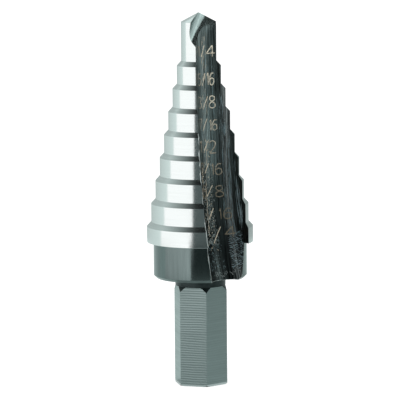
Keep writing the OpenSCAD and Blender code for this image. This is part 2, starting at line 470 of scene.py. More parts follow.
def channel_cutter():
    """The flute's solid: round the rim of the wheel, then straight on past the tip."""
    past_tip, straight_parts = 8, 8
    wheel_turn, wheel_parts = math.radians(27.5), 55
    section = channel_section()
    lean = Matrix.Translation((FLUTE_SHIFT, -CHANNEL_Y, RUNOUT_Z)) @ Matrix.Rotation(-FLUTE_LEAN, 4, "Y")
    rows, uv_rows = [], []
    for k in range(wheel_parts + 1):
        turn = wheel_turn * (1 - k / wheel_parts)
        row = [(x, -WHEEL_R + (WHEEL_R + y) * math.cos(turn), -(WHEEL_R + y) * math.sin(turn))
               for x, y, s in section]
        rows.append([MM * (lean @ Vector(point)) for point in row])
        uv_rows.append([(s, -WHEEL_R * turn) for x, y, s in section])
    for k in range(1, straight_parts + 1):
        z = (FLUTE_STRAIGHT + past_tip) * k / straight_parts
        rows.append([MM * (lean @ Vector((x, y, z))) for x, y, s in section])
        uv_rows.append([(s, z) for x, y, s in section])
    return prism("channel_cutter", rows, flute_steel, uv_rows)


def gash_cutter():
    """The gash's solid: a wedge with a round root that just misses the tip."""
    reach, root_parts = 12.0, 40
    climb = GASH_ANGLE - math.pi / 2
    root_far = GASH_R + GASH_GAP
    root = Vector((root_far * math.cos(GASH_WRAP), -root_far * math.sin(GASH_WRAP)))
    arc = [root + GASH_R * Vector((math.cos(a), math.sin(a)))
           for a in [math.pi / 2 + climb + (math.pi / 2 - climb) * k / root_parts
                     for k in range(root_parts + 1)]]
    top = arc[0]
    section = [Vector((reach, top.y + (reach - top.x) * math.tan(climb)))] + arc
    section += [Vector((root.x - GASH_R, -reach)), Vector((reach, -reach))]
    place = (Matrix.Translation((0, 0, TIP_Z)) @ Matrix.Rotation(-GASH_HEADING, 4, "Z")
             @ Matrix.Rotation(GASH_SLOPE - math.pi / 2, 4, "X") @ Matrix.Rotation(GASH_ROLL, 4, "Z"))
    rows = [[MM * (place @ Vector((p.x, p.y, z))) for p in section] for z in (-reach, reach)]
    return prism("gash_cutter", rows, gash_steel)


# The stepped body, turned on a lathe of nodes and cut by the flute and the gash

tree, given = new_tree("stepped_body", {
    "Pilot Radius": "Float", "Step Count": "Int", "Step Rise": "Float", "Step Pitch": "Float",
    "Step Land": "Float", "First Land Height": "Float", "Edge Break": "Float", "Segments": "Int",
    "Relief": "Vector", "Hub Height": "Float", "Body Height": "Float", "Shoulder Height": "Float",
    "Flute Cutter": "Object", "Gash Cutter": "Object"})
get = given.outputs
# The foot of each land but the largest, from the second largest down to the pilot.
steps = add(tree, "ShaderNodeMath", [get["Step Count"], 1.0], operation="SUBTRACT")
growth = add(tree, "ShaderNodeMath", [steps, 1.0], operation="SUBTRACT")
widest = add(tree, "ShaderNodeMath", [growth, get["Step Rise"], get["Pilot Radius"]],
             operation="MULTIPLY_ADD")
inward = add(tree, "ShaderNodeMath", [get["Step Rise"], -1.0], operation="MULTIPLY")
feet = add(tree, "GeometryNodeMeshLine", {
    "Count": steps,
    "Start Location": add(tree, "ShaderNodeCombineXYZ", [widest, 0.0, get["First Land Height"]]),
    "Offset": add(tree, "ShaderNodeCombineXYZ", [inward, 0.0, get["Step Pitch"]])})
land = add(tree, "GeometryNodeMeshLine", {
    "Count": 2, "Offset": add(tree, "ShaderNodeCombineXYZ", [0.0, 0.0, get["Step Land"]])})
lands = add(tree, "GeometryNodeInstanceOnPoints", {"Points": feet, "Instance": land})
lands = add(tree, "GeometryNodeRealizeInstances", [lands])
for name, value in (("edge_break", get["Edge Break"]), ("off_centre", 1.0)):
    lands = add(tree, "GeometryNodeStoreNamedAttribute", {0: lands, "Name": name, "Value": value},
                data_type="FLOAT", domain="POINT")
# The outline's corners are joined in order of height, and at one height from the axis outwards.
OUTWARD_SHARE = 0.001
corners = add(tree, "GeometryNodeMeshToPoints", [add(tree, "GeometryNodeJoinGeometry", [[given, lands]])])
place = add(tree, "GeometryNodeInputPosition")
x, y, z = add(tree, "ShaderNodeSeparateXYZ", [place]).outputs
order = add(tree, "ShaderNodeMath", [x, OUTWARD_SHARE, z], operation="MULTIPLY_ADD")
outline = add(tree, "GeometryNodePointsToCurves", {0: corners, "Weight": order})
rounding = add(tree, "GeometryNodeInputNamedAttribute", {"Name": "edge_break"}, data_type="FLOAT")
outline = add(tree, "GeometryNodeFilletCurve", {
    0: outline, "Count": 3, "Radius": rounding, "Limit Radius": True}, mode="POLY")
# The lathe: a grid with the outline up one side and a full turn along the other.
SEAM_GAP = 1e-7
count = add(tree, "GeometryNodeAttributeDomainSize", [outline], component="CURVE").outputs["Point Count"]
columns = add(tree, "ShaderNodeMath", [get["Segments"], 1.0], operation="ADD")
grid = add(tree, "GeometryNodeMeshGrid", {
    "Size X": 1.0, "Size Y": 1.0, "Vertices X": columns, "Vertices Y": count})
index = add(tree, "GeometryNodeInputIndex")
row = add(tree, "ShaderNodeMath", [index, count], operation="MODULO")
column = add(tree, "ShaderNodeMath", [index, count], operation="DIVIDE")
column = add(tree, "ShaderNodeMath", [column], operation="FLOOR")
share = add(tree, "ShaderNodeMath", [column, get["Segments"]], operation="DIVIDE")
angle = add(tree, "ShaderNodeMath", [share, 2 * math.pi], operation="MULTIPLY")
corner = add(tree, "GeometryNodeSampleIndex", {0: outline, "Value": place, "Index": row},
             data_type="FLOAT_VECTOR", domain="POINT")
off = add(tree, "GeometryNodeInputNamedAttribute", {"Name": "off_centre"}, data_type="FLOAT")
off = add(tree, "GeometryNodeSampleIndex", {0: outline, "Value": off, "Index": row},
          data_type="FLOAT", domain="POINT")
turned = add(tree, "ShaderNodeVectorRotate", {"Vector": corner, "Angle": angle}, rotation_type="Z_AXIS")
shift = add(tree, "ShaderNodeVectorMath", {0: get["Relief"], "Scale": off}, operation="SCALE")
turned = add(tree, "ShaderNodeVectorMath", [turned, shift], operation="ADD")
lathe = add(tree, "GeometryNodeSetPosition", {0: grid, "Position": turned})
lathe = add(tree, "GeometryNodeMergeByDistance", {0: lathe, "Distance": SEAM_GAP})
# Finishes by place: the hub, then the neck, the lands and the bevels over it.
BEVEL_FACING = 0.35
height, facing = height_and_facing(tree)
on_body = add(tree, "FunctionNodeCompare", [height, get["Body Height"]], operation="GREATER_THAN")
sloped = add(tree, "FunctionNodeCompare", [facing, BEVEL_FACING], operation="GREATER_THAN")
below_point = add(tree, "FunctionNodeCompare", [height, get["Shoulder Height"]], operation="LESS_THAN")
on_bevel = add(tree, "FunctionNodeBooleanMath", [sloped, on_body], operation="AND")
on_bevel = add(tree, "FunctionNodeBooleanMath", [on_bevel, below_point], operation="AND")
in_neck = add(tree, "FunctionNodeCompare", [height, get["Hub Height"]], operation="LESS_THAN")
body = add(tree, "GeometryNodeSetMaterial", {0: lathe, "Material": hub_steel})
# The neck takes the dark painted shade of its recess under the hub.
for chosen, material in ((in_neck, neck_shade_steel), (on_body, land_steel), (on_bevel, bevel_steel)):
    body = add(tree, "GeometryNodeSetMaterial", {0: body, "Selection": chosen, "Material": material})
for cutter in ("Flute Cutter", "Gash Cutter"):
    shape = add(tree, "GeometryNodeObjectInfo", [get[cutter]]).outputs["Geometry"]
    body = add(tree, "GeometryNodeMeshBoolean", [body, shape], operation="DIFFERENCE", solver="MANIFOLD")
end_tree(tree, crisp_edges(tree, body, BODY_CRISP))

# Corners of the outline that belong to no rule: (radius, height, rounding, off centre).
pilot_r = PILOT_D / 2 - LAND_RELIEF
last_r = LAST_D / 2 - LAND_RELIEF
shoulder_z = TIP_Z - pilot_r / math.tan(POINT_ANGLE / 2)
fixed = [
    (0, HEX_LEN, 0, 0), (NECK_R, HEX_LEN, NECK_BREAK, 0), (NECK_R, HUB_Z, HUB_FILLET, 0),
    (HUB_D / 2 - HUB_BEVEL, HUB_Z, EDGE_BREAK, 0), (HUB_D / 2, HUB_Z + HUB_BEVEL, EDGE_BREAK, 0),
    (HUB_D / 2, BODY_Z, EDGE_BREAK, 0), (last_r, BODY_Z, EDGE_BREAK, 1),
    (last_r, BODY_Z + LAST_LAND, EDGE_BREAK, 1), (pilot_r, shoulder_z, EDGE_BREAK, 1), (0, TIP_Z, 0, 0)]
cutting_body = mesh_object("cutting_body", [(r * MM, 0, z * MM) for r, z, b, o in fixed], [])
roundings, centres = [b * MM for r, z, b, o in fixed], [o for r, z, b, o in fixed]
for name, values in (("edge_break", roundings), ("off_centre", centres)):
    layer = cutting_body.data.attributes.new(name, "FLOAT", "POINT")
    layer.data.foreach_set("value", [float(value) for value in values])
flute_cutter = channel_cutter()
point_cutter = gash_cutter()
# How far past its level each finish changes, clear of the rounded edges.
HUB_CLEAR, BODY_CLEAR, SHOULDER_CLEAR = -0.02, -0.01, 0.02
run_tree(cutting_body, tree, {
    "Pilot Radius": pilot_r * MM, "Step Count": STEP_COUNT, "Step Rise": STEP_GROWTH / 2 * MM,
    "Step Pitch": STEP_PITCH * MM, "Step Land": STEP_LAND * MM, "First Land Height": FIRST_FOOT_Z * MM,
    "Edge Break": EDGE_BREAK * MM, "Segments": 360,
    "Relief": [-LAND_RELIEF * MM * math.sin(EDGE_TURN), -LAND_RELIEF * MM * math.cos(EDGE_TURN), 0.0],
    "Hub Height": (HUB_Z + HUB_CLEAR) * MM, "Body Height": (BODY_Z + BODY_CLEAR) * MM,
    "Shoulder Height": (shoulder_z + SHOULDER_CLEAR) * MM,
    "Flute Cutter": flute_cutter, "Gash Cutter": point_cutter})
steady_normals(cutting_body, BODY_CRISP)


# The hexagonal shank

# Lengths of the two cones, how far the bar runs up into the neck, and the height above which
# slanting faces are trimmed corners.
TRIM_CONE, END_CONE = 30, 25
BAR_OVERLAP = 0.5
TRIM_FOOT = 16
CORNER_FACING = 0.3
tree, given = new_tree("hex_shank", {
    "Corner Radius": "Float", "Length": "Float", "Turn": "Float", "Ridge Pitch": "Float",
    "Ridge Depth": "Float", "Trim Radius": "Float", "Trim Reach": "Float", "Trim Foot": "Float",
    "End Radius": "Float", "Rows": "Int"})
get = given.outputs
hexagon = add(tree, "GeometryNodeCurvePrimitiveCircle", {
    "Resolution": 6, "Radius": get["Corner Radius"]}, mode="RADIUS")
hexagon = add(tree, "GeometryNodeTransform", {
    0: hexagon, "Rotation": add(tree, "ShaderNodeCombineXYZ", [0.0, 0.0, get["Turn"]])})
hexagon = add(tree, "GeometryNodeResampleCurve", {0: hexagon, "Count": 72}, mode="COUNT")
rail = add(tree, "GeometryNodeCurvePrimitiveLine", {
    "End": add(tree, "ShaderNodeCombineXYZ", [0.0, 0.0, get["Length"]])})
rail = add(tree, "GeometryNodeResampleCurve", {0: rail, "Count": get["Rows"]}, mode="COUNT")
bar = add(tree, "GeometryNodeCurveToMesh", {0: rail, 1: hexagon, "Fill Caps": True})
place = add(tree, "GeometryNodeInputPosition")
grooves = groove_depth(tree, place, get["Ridge Pitch"])
sunk = add(tree, "ShaderNodeMath", [grooves, get["Ridge Depth"]], operation="MULTIPLY")
sunk = add(tree, "ShaderNodeMath", [sunk, get["Corner Radius"]], operation="DIVIDE")
keep = add(tree, "ShaderNodeMath", [1.0, sunk], operation="SUBTRACT")
keep = add(tree, "ShaderNodeCombineXYZ", [keep, keep, 1.0])
spot = add(tree, "ShaderNodeVectorMath", [place, keep], operation="MULTIPLY")
bar = add(tree, "GeometryNodeSetPosition", {0: bar, "Position": spot})
# Two long cones trim the corners under the neck and break them at the end.
trim_cone = add(tree, "GeometryNodeMeshCone", {
    "Vertices": 192, "Radius Top": get["Trim Reach"], "Radius Bottom": get["Trim Radius"],
    "Depth": TRIM_CONE * MM})
end_reach = add(tree, "ShaderNodeMath", [get["End Radius"], END_CONE * MM], operation="ADD")
end_cone = add(tree, "GeometryNodeMeshCone", {
    "Vertices": 192, "Radius Top": end_reach, "Radius Bottom": get["End Radius"],
    "Depth": END_CONE * MM})
body = add(tree, "GeometryNodeMeshBoolean", {1: [bar, trim_cone, end_cone]},
           operation="INTERSECT", solver="MANIFOLD")
body = crisp_edges(tree, body, SHANK_CRISP)
# The trimmed corners under the neck and the break at the end keep the dark painted shade.
height, facing = height_and_facing(tree)
trimmed = add(tree, "FunctionNodeBooleanMath", [
    add(tree, "FunctionNodeCompare", [facing, CORNER_FACING], operation="GREATER_THAN"),
    add(tree, "FunctionNodeCompare", [height, get["Trim Foot"]], operation="GREATER_THAN")],
    operation="AND")
broken = add(tree, "FunctionNodeCompare", [facing, -CORNER_FACING], operation="LESS_THAN")
dark = add(tree, "FunctionNodeBooleanMath", [trimmed, broken], operation="OR")
body = add(tree, "GeometryNodeSetMaterial", {0: body, "Material": shank_steel})
end_tree(tree, add(tree, "GeometryNodeSetMaterial", {0: body, "Selection": dark, "Material": neck_shade_steel}))

TRIM_SLOPE = (HEX_R - NECK_R) / CORNER_TRIM
hex_shank = mesh_object("hex_shank", [(0, 0, 0)], [])
run_tree(hex_shank, tree, {
    "Corner Radius": HEX_R * MM, "Length": (HEX_LEN + BAR_OVERLAP) * MM, "Turn": -math.pi / 2 - SHANK_TURN,
    "Ridge Pitch": RIDGE_PITCH * MM, "Ridge Depth": RIDGE_DEPTH * MM, "Rows": 262,
    "Trim Radius": (HEX_R + TRIM_SLOPE * (HEX_LEN - CORNER_TRIM)) * MM,
    "Trim Reach": (HEX_R + TRIM_SLOPE * (HEX_LEN - CORNER_TRIM - TRIM_CONE)) * MM,
    "Trim Foot": TRIM_FOOT * MM, "End Radius": (HEX_R - END_BREAK) * MM})
steady_normals(hex_shank, SHANK_CRISP)

for cutter in (flute_cutter, point_cutter):
    bpy.data.objects.remove(cutter)


# Marks, scratches and burrs

CHANNEL_INPUTS = {
    "Channel Radius": "Float", "Wheel Radius": "Float", "Channel Place": "Vector", "Channel Lean": "Float"}
CHANNEL = {
    "Channel Radius": FLUTE_R * MM, "Wheel Radius": WHEEL_R * MM, "Channel Lean": -FLUTE_LEAN,
    "Channel Place": [FLUTE_SHIFT * MM, -CHANNEL_Y * MM, RUNOUT_Z * MM]}


def channel_point(tree, get):
    """Where a flat drawing's point lands on the flute: X across it, Y along it, Z above it."""
    place = add(tree, "GeometryNodeInputPosition")
    across, along, above = add(tree, "ShaderNodeSeparateXYZ", [place]).outputs
    turn = add(tree, "ShaderNodeMath", [across, get["Channel Radius"]], operation="DIVIDE")
    turn = add(tree, "ShaderNodeMath", [math.pi / 2, turn], operation="SUBTRACT")
    radius = add(tree, "ShaderNodeMath", [get["Channel Radius"], above], operation="SUBTRACT")
    x = add(tree, "ShaderNodeMath", [turn], operation="COSINE")
    x = add(tree, "ShaderNodeMath", [radius, x], operation="MULTIPLY")
    y = add(tree, "ShaderNodeMath", [turn], operation="SINE")
    y = add(tree, "ShaderNodeMath", [radius, y], operation="MULTIPLY")
    ahead = add(tree, "ShaderNodeMath", [along, 0.0], operation="MAXIMUM")
    behind = add(tree, "ShaderNodeMath", [along, 0.0], operation="MINIMUM")
    bend = add(tree, "ShaderNodeMath", [behind, get["Wheel Radius"]], operation="DIVIDE")
    reach = add(tree, "ShaderNodeMath", [get["Wheel Radius"], y], operation="ADD")
    y = add(tree, "ShaderNodeMath", [bend], operation="COSINE")
    y = add(tree, "ShaderNodeMath", [reach, y], operation="MULTIPLY")
    y = add(tree, "ShaderNodeMath", [y, get["Wheel Radius"]], operation="SUBTRACT")
    z = add(tree, "ShaderNodeMath", [bend], operation="SINE")
    z = add(tree, "ShaderNodeMath", [reach, z, ahead], operation="MULTIPLY_ADD")
    point = add(tree, "ShaderNodeCombineXYZ", [x, y, z])
    point = add(tree, "ShaderNodeVectorRotate", {"Vector": point, "Angle": get["Channel Lean"]},
                rotation_type="Y_AXIS")
    return add(tree, "ShaderNodeVectorMath", [point, get["Channel Place"]], operation="ADD")


def onto_channel(tree, beads, get):
    """Beads drawn on a flat sheet, flattened and laid on the flute."""
    place = add(tree, "GeometryNodeInputPosition")
    flat = add(tree, "ShaderNodeCombineXYZ", [1.0, 1.0, get["Flatness"]])
    flat = add(tree, "ShaderNodeVectorMath", [place, flat], operation="MULTIPLY")
    beads = add(tree, "GeometryNodeSetPosition", {0: beads, "Position": flat})
    beads = add(tree, "GeometryNodeSetPosition", {0: beads, "Position": channel_point(tree, get)})
    return add(tree, "GeometryNodeSetShadeSmooth", {0: beads, "Shade Smooth": True}, domain="FACE")


# Lines drawn on the flute: each is swept as a low round bead and wrapped onto the surface.
LINE_POINT_GAP = 0.2
LINE_WANDERS_PER_MM = 1.1
line_tree, given = new_tree("flute_lines", {
    **CHANNEL_INPUTS, "Width": "Float", "Flatness": "Float", "Wander": "Float", "Material": "Material"})
tree = line_tree
get = given.outputs
lines = add(tree, "GeometryNodeMeshToCurve", [given])
lines = add(tree, "GeometryNodeResampleCurve", {0: lines, "Length": LINE_POINT_GAP * MM}, mode="LENGTH")
swing = add(tree, "ShaderNodeTexNoise", {
    "Vector": add(tree, "GeometryNodeInputPosition"), "Scale": LINE_WANDERS_PER_MM / MM, "Detail": 1.0})
swing = add(tree, "ShaderNodeMath", [swing, 0.5], operation="SUBTRACT")
swing = add(tree, "ShaderNodeMath", [swing, get["Wander"]], operation="MULTIPLY")
swing = add(tree, "ShaderNodeCombineXYZ", [swing])
lines = add(tree, "GeometryNodeSetPosition", {0: lines, "Offset": swing})
bead = add(tree, "ShaderNodeMath", [get["Width"], 0.5], operation="MULTIPLY")
bead = add(tree, "GeometryNodeCurvePrimitiveCircle", {"Resolution": 6, "Radius": bead}, mode="RADIUS")
beads = add(tree, "GeometryNodeCurveToMesh", {0: lines, 1: bead, "Fill Caps": True})
beads = onto_channel(tree, beads, get)
end_tree(tree, add(tree, "GeometryNodeSetMaterial", {0: beads, "Material": get["Material"]}))

# Strokes of the etched size marks, each glyph in a box of 1 by 1.
GLYPHS = {
    "/": [[(0, 0), (1, 1)]],
    "1": [[(0.2, 0.75), (0.7, 1), (0.7, 0)]],
    "2": [[(0, 0.78), (0.2, 0.96), (0.55, 1), (0.9, 0.88), (0.95, 0.68), (0.7, 0.42), (0, 0), (1, 0)]],
    "3": [[(0.05, 0.9), (0.45, 1), (0.88, 0.9), (0.88, 0.66), (0.45, 0.54), (0.9, 0.42), (0.95, 0.14),
           (0.5, 0), (0.02, 0.1)]],
    "4": [[(0.72, 0), (0.72, 1), (0, 0.3), (1, 0.3)]],
    "5": [[(0.92, 1), (0.16, 1), (0.1, 0.56), (0.55, 0.64), (0.95, 0.46), (0.95, 0.16), (0.5, 0),
           (0.03, 0.1)]],
    "6": [[(0.9, 0.95), (0.5, 1), (0.12, 0.72), (0.02, 0.3), (0.2, 0.04), (0.6, 0), (0.97, 0.2),
           (0.9, 0.5), (0.5, 0.6), (0.1, 0.45)]],
    "7": [[(0, 1), (1, 1), (0.4, 0)]],
    "8": [[(0.5, 0.53), (0.12, 0.68), (0.18, 0.93), (0.5, 1), (0.82, 0.93), (0.88, 0.68), (0.5, 0.53),
           (0.05, 0.34), (0.1, 0.07), (0.5, 0), (0.9, 0.07), (0.95, 0.34), (0.5, 0.53)]],
    "9": [[(0.1, 0.05), (0.5, 0), (0.88, 0.28), (0.98, 0.7), (0.8, 0.96), (0.4, 1), (0.03, 0.8),
           (0.1, 0.5), (0.5, 0.4), (0.9, 0.55)]]}
# Where the glyphs are on the flute, in mm: glyph, left, foot, right, top.
MARKS = [
    ("1", -2.70, 16.3, -1.95, 18.15), ("/", -1.59, 16.2, -0.83, 18.16), ("4", -0.41, 16.1, 1.18, 18.1),
    ("5", -2.80, 11.1, -1.80, 13.20), ("/", -1.54, 11.0, -0.80, 13.20), ("1", -0.48, 11.1, -0.05, 13.3),
    ("6", 0.10, 11.0, 0.92, 13.2),
    ("3", -2.80, 7.0, -1.80, 9.10), ("/", -1.48, 6.8, -0.37, 9.05), ("8", -0.16, 6.9, 1.10, 9.1),
    ("7", -2.80, 3.2, -1.90, 5.15), ("/", -1.62, 3.0, -0.61, 5.05), ("1", -0.15, 2.9, 0.28, 4.85),
    ("6", 0.42, 2.9, 1.28, 4.8),
    ("1", -2.55, -0.8, -1.95, 1.20), ("/", -1.51, -0.9, -0.62, 1.07), ("2", -0.23, -1.1, 0.96, 1.05),
    ("9", -2.60, -4.4, -1.75, -2.55), ("/", -1.49, -4.4, -0.50, -2.75), ("1", 0.00, -4.7, 0.42, -2.8),
    ("6", 0.65, -4.8, 1.92, -2.9),
    ("5", -2.30, -8.3, -1.50, -6.45), ("/", -1.39, -8.3, -0.01, -6.49), ("8", 0.38, -8.5, 1.98, -6.6),
    ("/", -1.30, -12.0, -0.23, -10.3), ("1", 0.80, -12.2, 1.20, -10.4), ("6", 1.53, -12.3, 3.10, -10.5),
    ("/", -0.95, -16.2, 0.74, -13.5), ("4", 1.40, -15.4, 3.42, -13.6)]


def drawn_lines(name, strokes, width, flatness, wander, material):
    """Lines through points on the flute. Points, width and wander are in mm."""
    verts, edges = [], []
    for stroke in strokes:
        edges += [(len(verts) + k, len(verts) + k + 1) for k in range(len(stroke) - 1)]
        verts += [(x * MM, y * MM, 0) for x, y in stroke]
    return run_tree(mesh_object(name, verts, [], edges), line_tree, {
        **CHANNEL, "Width": width * MM, "Flatness": flatness, "Wander": wander * MM, "Material": material})


def placed(wanted):
    """The strokes of the marks' glyphs that are wanted, in mm on the flute."""
    return [[(left + (right - left) * u, foot + (top - foot) * v) for u, v in stroke]
            for glyph, left, foot, right, top in MARKS if glyph in wanted for stroke in GLYPHS[glyph]]


size_marks = drawn_lines("size_marks", placed("123456789"), 0.2, 0.4, 0.03, mark_oxide)
mark_slashes = drawn_lines("mark_slashes", placed("/"), 0.16, 0.6, 0.2, pale_glint_paint)
# A long bright scratch runs down the flute's left side, with shorter ones below and beside it,
# whose pale colour is a painted highlight.
UPPER_SCRATCH = [
    [(-1.21, 18.2), (-1.3, 15.6), (-1.4, 12.9), (-1.4, 9.4), (-1.52, 5.8), (-1.65, 2.3), (-1.5, -0.4),
     (-1.2, -3.0)]]
LOWER_SCRATCHES = [
    [(-1.3, -5.5), (-1.45, -8.0), (-1.62, -9.7), (-1.6, -13.0), (-1.85, -15.0)],
    [(-2.3, -3.5), (-2.2, -6.0), (-2.4, -8.6)], [(-1.0, 1.5), (-0.9, -1.5), (-1.0, -4.0)]]
upper_scratch = drawn_lines("upper_scratch", UPPER_SCRATCH, 0.13, 0.6, 0.5, glint_steel)
lower_scratches = drawn_lines("lower_scratches", LOWER_SCRATCHES, 0.09, 0.6, 0.9, pale_glint_paint)

# Short strokes strewn over a patch of the flute, in rows or loose, and wrapped onto the surface.
# Rows slope by ROW_SLOPE across the flute, and strokes vary in size and thin out to their ends.
ROW_SLOPE = -0.35
SMALLEST, LARGEST = 0.45, 1.4
END_TAPER = 0.15
# Strokes keep away from the body's outer edge by a share of their length and a little more.
LENGTH_SHARE, EDGE_CLEAR = 0.2, 0.1
LEAN_SEED_STEP = 7.0
STROKE_FLATNESS = 0.9
stroke_tree, given = new_tree("flute_strokes", {
    **CHANNEL_INPUTS, "Count": "Int", "Seed": "Int", "Low Corner": "Vector", "High Corner": "Vector",
    "Length": "Float", "Width": "Float", "Flatness": "Float", "Heading": "Float", "Spread": "Float",
    "Bend": "Float", "Row Pitch": "Float", "Cone Radius": "Float", "Hub Radius": "Float",
    "Material": "Material"})
tree = stroke_tree
get = given.outputs
spots = add(tree, "FunctionNodeRandomValue", {0: get["Low Corner"], 1: get["High Corner"], 8: get["Seed"]},
            data_type="FLOAT_VECTOR")
spots = add(tree, "GeometryNodePoints", {"Count": get["Count"], "Position": spots})
# Strokes that would hang in the air beside the steps or the hub are left out.
x, y, z = add(tree, "ShaderNodeSeparateXYZ", [channel_point(tree, get)]).outputs
off_axis = add(tree, "ShaderNodeCombineXYZ", [x, y])
off_axis = add(tree, "ShaderNodeVectorMath", [off_axis], operation="LENGTH").outputs["Value"]
room = add(tree, "ShaderNodeMath", [z, -STEP_GROWTH / 2 / STEP_PITCH, get["Cone Radius"]],
           operation="MULTIPLY_ADD")
room = add(tree, "ShaderNodeMath", [room, get["Hub Radius"]], operation="MINIMUM")
room = add(tree, "ShaderNodeMath", [get["Length"], -LENGTH_SHARE, room], operation="MULTIPLY_ADD")
room = add(tree, "ShaderNodeMath", [room, EDGE_CLEAR * MM], operation="SUBTRACT")
inside = add(tree, "FunctionNodeCompare", [off_axis, room], operation="LESS_THAN")
spots = add(tree, "GeometryNodeSeparateGeometry", [spots, inside], domain="POINT")
# Each stroke moves along the flute to the nearest row.
x, y, z = add(tree, "ShaderNodeSeparateXYZ", [add(tree, "GeometryNodeInputPosition")]).outputs
row = add(tree, "ShaderNodeMath", [x, ROW_SLOPE, y], operation="MULTIPLY_ADD")
rest = add(tree, "ShaderNodeMath", [row, get["Row Pitch"]], operation="SNAP")
rest = add(tree, "ShaderNodeMath", [rest, row], operation="SUBTRACT")
rest = add(tree, "ShaderNodeCombineXYZ", [0.0, rest])
spots = add(tree, "GeometryNodeSetPosition", {0: spots, "Offset": rest})
stroke = add(tree, "GeometryNodeCurveQuadraticBezier", {
    "Resolution": 5, "Start": (0.0, -0.5, 0.0), "Middle": add(tree, "ShaderNodeCombineXYZ", [get["Bend"]]),
    "End": (0.0, 0.5, 0.0)})
along = add(tree, "GeometryNodeSplineParameter").outputs["Factor"]
taper = add(tree, "ShaderNodeMath", [along, math.pi - 2 * END_TAPER, END_TAPER], operation="MULTIPLY_ADD")
taper = add(tree, "ShaderNodeMath", [taper], operation="SINE")
bead = add(tree, "ShaderNodeMath", [get["Width"], get["Length"]], operation="DIVIDE")
bead = add(tree, "ShaderNodeMath", [bead, 0.5], operation="MULTIPLY")
bead = add(tree, "GeometryNodeCurvePrimitiveCircle", {"Resolution": 4, "Radius": bead}, mode="RADIUS")
stroke = add(tree, "GeometryNodeCurveToMesh", {0: stroke, 1: bead, "Fill Caps": True, "Scale": taper})
size = add(tree, "FunctionNodeRandomValue", {2: SMALLEST, 3: LARGEST, 8: get["Seed"]}, data_type="FLOAT")
size = add(tree, "ShaderNodeMath", [size, get["Length"]], operation="MULTIPLY")
size = add(tree, "ShaderNodeCombineXYZ", [size, size, size])
lean = add(tree, "FunctionNodeRandomValue", {
    2: add(tree, "ShaderNodeMath", [get["Heading"], get["Spread"]], operation="SUBTRACT"),
    3: add(tree, "ShaderNodeMath", [get["Heading"], get["Spread"]], operation="ADD"),
    8: add(tree, "ShaderNodeMath", [get["Seed"], LEAN_SEED_STEP], operation="ADD")}, data_type="FLOAT")
lean = add(tree, "ShaderNodeCombineXYZ", [0.0, 0.0, lean])
strokes = add(tree, "GeometryNodeInstanceOnPoints", {
    "Points": spots, "Instance": stroke, "Scale": size, "Rotation": lean})
strokes = onto_channel(tree, add(tree, "GeometryNodeRealizeInstances", [strokes]), get)
end_tree(tree, add(tree, "GeometryNodeSetMaterial", {0: strokes, "Material": get["Material"]}))

# A row pitch so small that the strokes stay loose.
LOOSE = 0.001
# Strokes in the pale glint colour are painted highlights.
# Name, count, seed, patch (left, foot, right, top), length, width, heading, spread, bend, rows, material.
STROKES = [
    ("flute_crackle", 420, 3, (-2.3, -16.5, 0.1, -2.4), 0.36, 0.09, 0.0, 1.4, 0.35, LOOSE, glint_steel),
    ("flute_specks", 90, 41, (-2.5, -17.5, -0.3, 1.5), 0.24, 0.10, 0.0, 0.9, 0.3, LOOSE, pale_glint_paint),
    ("point_glints", 46, 13, (-1.75, 5.5, -0.35, 20.3), 0.9, 0.055, 0.0, 0.12, 0.08, LOOSE, pale_glint_paint),
    ("flute_dots", 80, 5, (-2.9, -21.0, 0.5, -15.5), 0.34, 0.08, 0.4, 1.2, 0.3, LOOSE, streak_steel),
    ("flute_streaks", 110, 11, (1.7, -15.5, 3.5, 9.5), 2.0, 0.085, 0.0, 0.03, 0.01, LOOSE, streak_steel),
    ("flute_light_streaks", 60, 17, (-1.9, -2.0, 1.4, 18.0), 2.4, 0.07, 0.0, 0.02, 0.01, LOOSE, streak_steel),
    ("rim_burrs", 40, 31, (-2.2, -21.9, 3.4, -21.1), 0.4, 0.08, 0.5, 0.8, 0.4, LOOSE, glint_steel),
    ("flute_chatter", 380, 23, (1.9, -20.8, 4.6, -14.6), 0.42, 0.07, 1.15, 0.22, 0.3, 0.36, streak_steel),
    ("wall_streaks", 240, 29, (4.2, -14.0, 6.2, 3.0), 1.8, 0.055, 0.0, 0.03, 0.01, LOOSE, streak_steel)]
# Radius at height 0 of the cone through the inner corners of the steps.
CONE_R = (LAST_D - STEP_GROWTH) / 2 + FIRST_FOOT_Z * STEP_GROWTH / 2 / STEP_PITCH
strewn = []
for name, count, seed, patch, length, width, heading, spread, bend, rows, material in STROKES:
    left, foot, right, top = patch
    strewn.append(run_tree(mesh_object(name, [(0, 0, 0)], []), stroke_tree, {
        **CHANNEL, "Count": count, "Seed": seed, "Low Corner": [left * MM, foot * MM, 0.0],
        "High Corner": [right * MM, top * MM, 0.0], "Length": length * MM, "Width": width * MM,
        "Flatness": STROKE_FLATNESS, "Heading": heading, "Spread": spread, "Bend": bend,
        "Row Pitch": rows * MM, "Material": material, "Cone Radius": CONE_R * MM,
        "Hub Radius": HUB_D / 2 * MM}))

# Burrs stand on the flute's left edge and round its lower end: a bead of uneven thickness.
BURR_CRISP = math.radians(38)
STEEP = 0.3
EDGE_GAP, BURR_POINT_GAP = 0.02, 0.12
JAGS_PER_MM, THICK_PATCHES_PER_MM = 2.5, 0.42
# Heights in mm where the bead thickens on the largest step, and where it thins out above it.
THICKENS, THINS = (25.5, 26.2), (30.0, 30.5)
